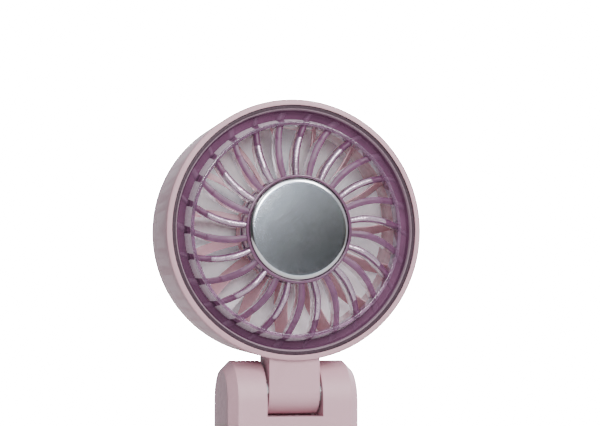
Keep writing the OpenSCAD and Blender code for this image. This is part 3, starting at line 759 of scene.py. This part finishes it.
def vane_ring(sizes):
    """Band, flange, motor mount and guide vanes of the duct's front."""
    duct = 37.2
    flange = CHANNEL_BACK + 0.07
    band = filleted(
        [
            (duct, flange, 0.2), (SEAT_R - 0.1, flange, 0.1), (SEAT_R - 0.1, 5.98, 0), (duct + 1.4, 5.98, 0),
            (duct + 1.4, 15, 0), (duct + 0.7, 15, 0), (duct + 0.7, 17, 0), (duct, 17, 0.1),
        ]
    )
    mount = filleted(
        [
            (2.2, 7, 0), (16.4, 7, 0), (16.4, 4.9, 0), (17.6, 4.9, 0.3), (17.6, 13.4, 0.3), (16.2, 13.4, 0),
            (16.2, 8.4, 0.2), (3.7, 8.4, 0), (3.7, 24, 0), (2.2, 24, 0),
        ]
    )
    step = TURN / sizes.vane_count
    first = math.radians(-1)
    vanes = [vane_shell(first + i * step, sizes.vane_lean, 17.3, duct + 0.3) for i in range(sizes.vane_count)]
    shells = [lathe(band), lathe(mount, 128), *vanes]
    return piece("guide_vanes", shells, [vane_abs()], "head", "duct_plastic", "vane_ring", sharp=40)


def impeller_blade(angle, inner, outer):
    """One impeller blade: a cambered section whose reach grows and whose thickness shrinks with the radius.

    A section lies across the radius, so a point's angle is the arc tangent of its offset over its way out.
    """
    lean = math.radians(-14)
    offset = 6 * math.sin(-lean)
    radius = np.linspace(inner, outer, 22)[:, None]
    s = (radius - inner) / (outer - inner)
    reach = 0.74 + 0.74 * s
    front, back = pairs(11.8 * reach, 16.6), pairs(-10.6 * reach, 26.3)
    section = blade_sections(front, pairs(1.5, 22.6 - 1.1 * s), back, 1.5 - 0.4 * s, 16)
    tangent = section[..., 0] + offset
    along = np.sqrt(np.maximum(radius**2 - tangent**2, 0))
    around = angle + (np.arctan2(tangent, along) + lean)
    return closed_grid(polar(radius, around, section[..., 1]), round_u=False)


def impeller(sizes):
    """Hub cup with a domed back, and the blades."""
    hub = filleted(
        [
            (14.3, 14.7, 0.2), (15.9, 14.7, 0.4), (16, 27.3, 1.2), (14.4, 28.5, 0.5), (1.2, 28.5, 0),
            (1.2, 27, 0), (13.4, 27, 0), (14.3, 25.8, 0),
        ]
    )
    step = TURN / sizes.blade_count
    first = math.radians(12)
    reach = sizes.blade_reach / MM
    blades = [impeller_blade(first + i * step, 15.5, reach) for i in range(sizes.blade_count)]
    shells = [lathe(hub, 128), *blades]
    return piece("impeller_white", shells, [impeller_pp()], "rotor", "impeller_plastic", "impeller", sharp=40)


# ---------------------------------------------------------------- add-on


class FanSizes(bpy.types.PropertyGroup):
    """Sizes of the pieces that are worked out here."""

    spoke_count: bpy.props.IntProperty(
        name="Spokes", description="Number of grille spokes", default=26, min=12
    )
    spoke_width: bpy.props.FloatProperty(
        name="Spoke width", description="Width of a spoke", default=2.3 * MM, unit="LENGTH"
    )
    spoke_sweep: bpy.props.FloatProperty(
        name="Spoke sweep", description="Degrees that a spoke turns on its way out", default=11.5
    )
    spoke_start: bpy.props.FloatProperty(
        name="First spoke", description="Direction of the first spoke at the hub, in degrees", default=9.7
    )
    vane_count: bpy.props.IntProperty(name="Vanes", description="Number of guide vanes", default=15, min=5)
    vane_lean: bpy.props.FloatProperty(
        name="Vane lean", description="Degrees that a guide vane leans", default=9.0
    )
    blade_count: bpy.props.IntProperty(
        name="Blades", description="Number of impeller blades", default=7, min=3
    )
    blade_reach: bpy.props.FloatProperty(
        name="Blade reach", description="Radius of the blade tips", default=36.3 * MM, unit="LENGTH"
    )


class FanColours(bpy.types.PropertyGroup):
    """Main colours, as sRGB hex."""

    housing: bpy.props.StringProperty(name="Housing", description="Colour of the housing", default="#C39BA5")
    housing_shade: bpy.props.StringProperty(
        name="Housing drift", description="Second colour of the housing's slow drift", default="#BE96A0"
    )
    vane: bpy.props.StringProperty(name="Vanes", description="Colour of the guide vanes", default="#C8A3A9")
    vane_shade: bpy.props.StringProperty(
        name="Vane drift", description="Second colour of the guide vanes' drift", default="#BC969D"
    )


class FAN_OT_grille(bpy.types.Operator):
    """Builds the clear grille: channel, lip, spokes and hub."""

    bl_idname = "fan.grille"
    bl_label = "Grille"

    def execute(self, context):
        sizes = context.scene.fan_sizes
        grille_channel()
        grille_lip()
        grille_spokes(sizes)
        grille_hub(sizes)
        return {"FINISHED"}


class FAN_OT_plate(bpy.types.Operator):
    """Builds the cooling plate."""

    bl_idname = "fan.plate"
    bl_label = "Cooling plate"

    def execute(self, context):
        cooling_plate()
        return {"FINISHED"}


class FAN_OT_air_path(bpy.types.Operator):
    """Builds the guide vanes and the impeller."""

    bl_idname = "fan.air_path"
    bl_label = "Vanes and impeller"

    def execute(self, context):
        vane_ring(context.scene.fan_sizes)
        impeller(context.scene.fan_sizes)
        return {"FINISHED"}


class FAN_OT_housing(bpy.types.Operator):
    """Builds the moulded housings of head and handle with rounded edges."""

    bl_idname = "fan.housing"
    bl_label = "Housing"

    def execute(self, context):
        finish = housing_abs()
        softened("head_shell", "head_housing", finish, "head", 0.25)
        softened("neck_cover", "neck_back", finish, "head", 0.25)
        softened("rear_grille", "rear_guard", finish, "head", 0.2)
        softened("handle_front", "handle_front_half", finish, "handle", 0.35)
        softened("handle_rear", "handle_rear_half", finish, "handle", 0.35)
        softened("power_button", "power_key", button_abs(), "power", 0.3)
        softened("cool_button", "cool_key", button_abs(), "cool", 0.3)
        return {"FINISHED"}


FINISH_OF_SLOT = {
    "housing": housing_abs,
    "seal_rubber": seal_rubber,
    "ceramic_white": ceramic_alumina,
    "pad_silicone": pad_silicone,
    "heat_sink_aluminium": sink_aluminium,
    "screw_steel": zinc_steel,
    "duct_plastic": vane_abs,
    "circuit_board": circuit_board,
    "motor_steel": motor_steel,
    "copper_wire": copper_coils,
    "bush_brass": bush_brass,
    "magnet": ferrite,
    "cell_wrap": cell_wrap,
    "switch_black": black_nylon,
    "display_acrylic": smoked_acrylic,
    "foot_rubber": foot_rubber,
}


class FAN_OT_inside(bpy.types.Operator):
    """Gives every CAD piece that stays the finish of its slot."""

    bl_idname = "fan.inside"
    bl_label = "Inner pieces"

    def execute(self, context):
        made = {}
        for part in frame["record"]["subparts"]:
            node = frame["nodes"][part["node"]]
            slot = part["material_slot"]
            if node.hide_render:
                continue
            if slot not in made:
                made[slot] = FINISH_OF_SLOT[slot]()
            node.data.materials.clear()
            node.data.materials.append(made[slot])
        return {"FINISHED"}


class FAN_OT_stage(bpy.types.Operator):
    """Sets the floor, the studio light and the camera."""

    bl_idname = "fan.stage"
    bl_label = "Stage"

    def execute(self, context):
        floor()
        studio(context.scene)
        camera(context.scene)
        return {"FINISHED"}


def floor():
    """A round floor under the fan."""
    ring = np.arange(96) * TURN / 96
    reach = 0.9
    points = np.stack([reach * np.cos(ring), reach * np.sin(ring), np.zeros(96)], -1)
    mesh = bpy.data.meshes.new("floor")
    mesh.from_pydata(points.tolist(), [], [list(range(96))])
    mesh.materials.append(floor_paint())
    made = bpy.data.objects.new("floor", mesh)
    bpy.context.scene.collection.objects.link(made)


def softbox(name, place, aim, width, height, watts, colour):
    """A rectangular area light, aimed at a point."""
    data = bpy.data.lights.new(name, "AREA")
    data.shape = "RECTANGLE"
    data.size = width
    data.size_y = height
    data.energy = watts
    data.color = linear(colour)
    made = bpy.data.objects.new(name, data)
    bpy.context.scene.collection.objects.link(made)
    made.location = place
    made.rotation_mode = "QUATERNION"
    made.rotation_quaternion = (Vector(aim) - Vector(place)).to_track_quat("-Z", "Y")


def studio(scene):
    """A softbox at the front right, a smaller one near the axis that lights the inside, a weak one at the left.

    The room is white, brighter behind and above and darker on the left. The plate mirrors a dark patch of it
    and a bright one beside that.
    """
    centre = (HEAD_X, RIM_Y, HEAD_Z)
    softbox("Key", (0.52, -1.0, 0.95), centre, 0.5, 0.5, 13.0, "#FFFDFB")
    softbox("Fill", (-0.03, -0.88, 0.40), centre, 0.2, 0.2, 3.4, "#FFFCFA")
    softbox("Edge", (-0.55, -0.7, 0.8), centre, 0.25, 0.25, 0.8, "#FFFFFF")
    world = bpy.data.worlds.new("White studio")
    scene.world = world
    world.use_nodes = True
    tree = world.node_tree
    tree.nodes.clear()
    towards = add(tree, "TexCoord").outputs["Generated"]
    parts = add(tree, "SeparateXYZ", {0: towards}).outputs
    to_dark, to_bright = (
        add(tree, "VectorMath", {0: towards, 1: aim.normalized()}, operation="DOT_PRODUCT").outputs["Value"]
        for aim in (Vector((0.46, -0.85, -0.26)), Vector((-0.22, -0.83, 0.51)))
    )
    dark = add(tree, "MapRange", {0: to_dark, 1: 0.85, 2: 0.95, 3: 0.0, 4: 0.95}).outputs[0]
    level = add(tree, "Math", {0: 1.0, 1: dark}, operation="SUBTRACT").outputs[0]
    for value, start_at, end_at, low, high in (
        (parts["Y"], -0.1, 0.7, 0.85, 4.6),
        (parts["Z"], -0.3, 0.9, 0.55, 1.15),
        (parts["X"], -0.3, 0.25, 0.12, 1.0),
        (to_bright, 0.87, 0.96, 1.0, 11.0),
    ):
        factor = add(tree, "MapRange", {0: value, 1: start_at, 2: end_at, 3: low, 4: high}).outputs[0]
        level = add(tree, "Math", {0: level, 1: factor}, operation="MULTIPLY").outputs[0]
    tone = add(tree, "Mix", {0: dark, 6: rgba("#F5F8FF"), 7: rgba("#FFE9C8")}, data_type="RGBA").outputs[2]
    room = add(tree, "Background", {"Color": tone, "Strength": level})
    backdrop = add(tree, "Background", {"Color": (1, 1, 1, 1), "Strength": 40.0})
    seen = add(tree, "LightPath").outputs["Is Camera Ray"]
    mixed = add(tree, "MixShader", {0: seen, 1: room.outputs[0], 2: backdrop.outputs[0]})
    add(tree, "OutputWorld", {"Surface": mixed.outputs[0]})


def camera(scene):
    """The camera: left of the front, a little below the head's middle, tilted up, with a long lens."""
    data = bpy.data.cameras.new("Camera")
    data.sensor_width = 36
    data.lens = 130.5
    data.clip_start = 0.01
    data.clip_end = 20
    side, distance, drop = math.radians(14.2), 0.730, 0.031
    turn, tilt = math.radians(14.2 + 0.116), math.radians(2.87)
    made = bpy.data.objects.new("Camera", data)
    scene.collection.objects.link(made)
    flat = math.sqrt(distance**2 - drop**2)
    made.location = (HEAD_X - flat * math.sin(side), RIM_Y - flat * math.cos(side), HEAD_Z - drop)
    forward = Vector((math.sin(turn) * math.cos(tilt), math.cos(turn) * math.cos(tilt), math.sin(tilt)))
    made.rotation_mode = "QUATERNION"
    made.rotation_quaternion = forward.to_track_quat("-Z", "Y")
    scene.camera = made


class FAN_PT_panel(bpy.types.Panel):
    """Lists the fan's sizes, colours and builders."""

    bl_label = "Handheld fan"
    bl_idname = "FAN_PT_panel"
    bl_space_type = "VIEW_3D"
    bl_region_type = "UI"
    bl_category = "Fan"

    def draw(self, context):
        for group in (context.scene.fan_sizes, context.scene.fan_colours):
            for key in group.__annotations__:
                self.layout.prop(group, key)
        for operator in BUILDERS:
            self.layout.operator(operator.bl_idname)


BUILDERS = (FAN_OT_stage, FAN_OT_housing, FAN_OT_grille, FAN_OT_plate, FAN_OT_air_path, FAN_OT_inside)
CLASSES = (FanSizes, FanColours, *BUILDERS, FAN_PT_panel)


def register():
    for item in CLASSES:
        bpy.utils.register_class(item)
    bpy.types.Scene.fan_sizes = bpy.props.PointerProperty(type=FanSizes)
    bpy.types.Scene.fan_colours = bpy.props.PointerProperty(type=FanColours)


def unregister():
    del bpy.types.Scene.fan_colours
    del bpy.types.Scene.fan_sizes
    for item in reversed(CLASSES):
        bpy.utils.unregister_class(item)


def main():
    """Registers the add-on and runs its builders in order."""
    register()
    bpy.ops.fan.stage()
    bpy.ops.fan.housing()
    bpy.ops.fan.grille()
    bpy.ops.fan.plate()
    bpy.ops.fan.air_path()
    bpy.ops.fan.inside()


if __name__ == "__main__":
    main()
